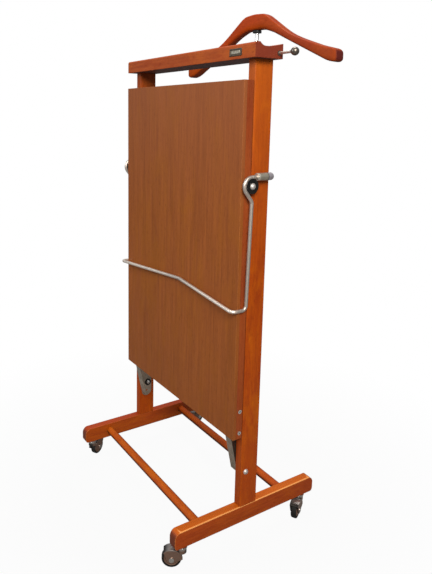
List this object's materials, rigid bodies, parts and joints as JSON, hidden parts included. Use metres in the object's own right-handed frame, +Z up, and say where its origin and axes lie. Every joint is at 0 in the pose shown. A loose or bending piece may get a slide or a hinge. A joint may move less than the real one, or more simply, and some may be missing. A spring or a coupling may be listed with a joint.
{
  "type": "wheeled valet stand with trouser press",
  "caption": "Wheeled wooden valet stand with a tilting trouser-press door, wire bail, coved tray, pull-out tie rod and swivelling jacket hanger on casters.",
  "frame": {"origin": "on the floor, midway between the four caster stems", "axes": "+Z up, +Y to the back, +X to the right of someone facing the press door"},
  "size_m": [0.5369, 0.4052, 1.1008],
  "materials": {
    "beech": "red-brown stained and varnished beech, satin",
    "dowel": "stained turned beech, satin",
    "veneer": "fine vertical-grained veneer, low sheen",
    "board": "plain plywood, matt",
    "felt": "short felt",
    "steel": "bright plated steel",
    "nickel": "satin nickel",
    "arm_steel": "pressed plated sheet",
    "black_plastic": "black nylon",
    "hood_metal": "bronze-grey lacquered steel",
    "hub_metal": "turned bronze-grey disc",
    "tyre": "black rubber"
  },
  "bodies": {
    "stand": {"upright_left": "beech", "upright_right": "beech", "foot_rail_left": "beech", "foot_rail_right": "beech", "stretcher_front": "dowel", "stretcher_rear": "dowel", "tray": "beech", "frame_bolts": "steel", "side_bolts": "steel", "press_back_board": "board", "press_back_felt": "felt", "door_pivot_bolts": "steel", "door_pivot_washers": "black_plastic", "rod_ferrule": "nickel", "hanger_post": "nickel", "hanger_post_flange": "nickel", "caster_stem_fl": "steel", "caster_stem_fr": "steel", "caster_stem_rl": "steel", "caster_stem_rr": "steel"},
    "press_door": {"door_panel": "veneer", "door_stile_left": "beech", "door_stile_right": "beech", "door_batten_top": "beech", "door_batten_bottom": "beech", "door_liner": "board", "door_felt": "felt", "hinge_arm_left": "arm_steel", "hinge_arm_right": "arm_steel", "hinge_arm_screws": "steel", "bail_pivot_bolts": "steel"},
    "bail": {"bail_wire": "nickel", "bail_handle_left": "nickel", "bail_handle_right": "nickel", "bail_bush_left": "black_plastic", "bail_bush_right": "black_plastic"},
    "tie_rod": {"tie_rod": "nickel", "tie_rod_knob": "nickel"},
    "hanger": {"hanger_bar": "beech", "hanger_cap": "black_plastic"},
    "caster_fl": {"caster_hood_fl": "hood_metal", "caster_axle_fl": "steel"},
    "wheel_fl": {"caster_hub_fl": "hub_metal", "caster_tyre_fl": "tyre"},
    "caster_fr": {"caster_hood_fr": "hood_metal", "caster_axle_fr": "steel"},
    "wheel_fr": {"caster_hub_fr": "hub_metal", "caster_tyre_fr": "tyre"},
    "caster_rl": {"caster_hood_rl": "hood_metal", "caster_axle_rl": "steel"},
    "wheel_rl": {"caster_hub_rl": "hub_metal", "caster_tyre_rl": "tyre"},
    "caster_rr": {"caster_hood_rr": "hood_metal", "caster_axle_rr": "steel"},
    "wheel_rr": {"caster_hub_rr": "hub_metal", "caster_tyre_rr": "tyre"}
  },
  "joints": [
    {"name": "door_tilt", "type": "hinge", "parent": "stand", "child": "press_door", "pos_m": [0, 0.001, 0.173], "axis": [1, 0, 0], "range_deg": [0, 15]},
    {"name": "bail_swing", "type": "hinge", "parent": "press_door", "child": "bail", "pos_m": [0, -0.0285, 0.747], "axis": [-1, 0, 0], "range_deg": [0, 100]},
    {"name": "tie_rod_slide", "type": "slide", "parent": "stand", "child": "tie_rod", "axis": [1, 0, 0], "range_m": [-0.031, 0.12]},
    {"name": "hanger_turn", "type": "hinge", "parent": "stand", "child": "hanger", "pos_m": [0, 0.166, 1.05], "axis": [0, 0, 1], "range_deg": [-38, 20]},
    {"name": "caster_swivel_fl", "type": "hinge", "parent": "stand", "child": "caster_fl", "pos_m": [-0.217, -0.155, 0.041], "axis": [0, 0, 1], "continuous": true},
    {"name": "wheel_roll_fl", "type": "hinge", "parent": "caster_fl", "child": "wheel_fl", "pos_m": [-0.227, -0.13768, 0.0195], "axis": [0.866, 0.5, 0], "continuous": true},
    {"name": "caster_swivel_fr", "type": "hinge", "parent": "stand", "child": "caster_fr", "pos_m": [0.217, -0.155, 0.041], "axis": [0, 0, 1], "continuous": true},
    {"name": "wheel_roll_fr", "type": "hinge", "parent": "caster_fr", "child": "wheel_fr", "pos_m": [0.2064, -0.17196, 0.0195], "axis": [-0.848, 0.5299, 0], "continuous": true},
    {"name": "caster_swivel_rl", "type": "hinge", "parent": "stand", "child": "caster_rl", "pos_m": [-0.217, 0.155, 0.041], "axis": [0, 0, 1], "continuous": true},
    {"name": "wheel_roll_rl", "type": "hinge", "parent": "caster_rl", "child": "wheel_rl", "pos_m": [-0.22047, 0.1747, 0.0195], "axis": [0.9848, 0.1736, 0], "continuous": true},
    {"name": "caster_swivel_rr", "type": "hinge", "parent": "stand", "child": "caster_rr", "pos_m": [0.217, 0.155, 0.041], "axis": [0, 0, 1], "continuous": true},
    {"name": "wheel_roll_rr", "type": "hinge", "parent": "caster_rr", "child": "wheel_rr", "pos_m": [0.227, 0.13768, 0.0195], "axis": [-0.866, -0.5, 0], "continuous": true}
  ]
}
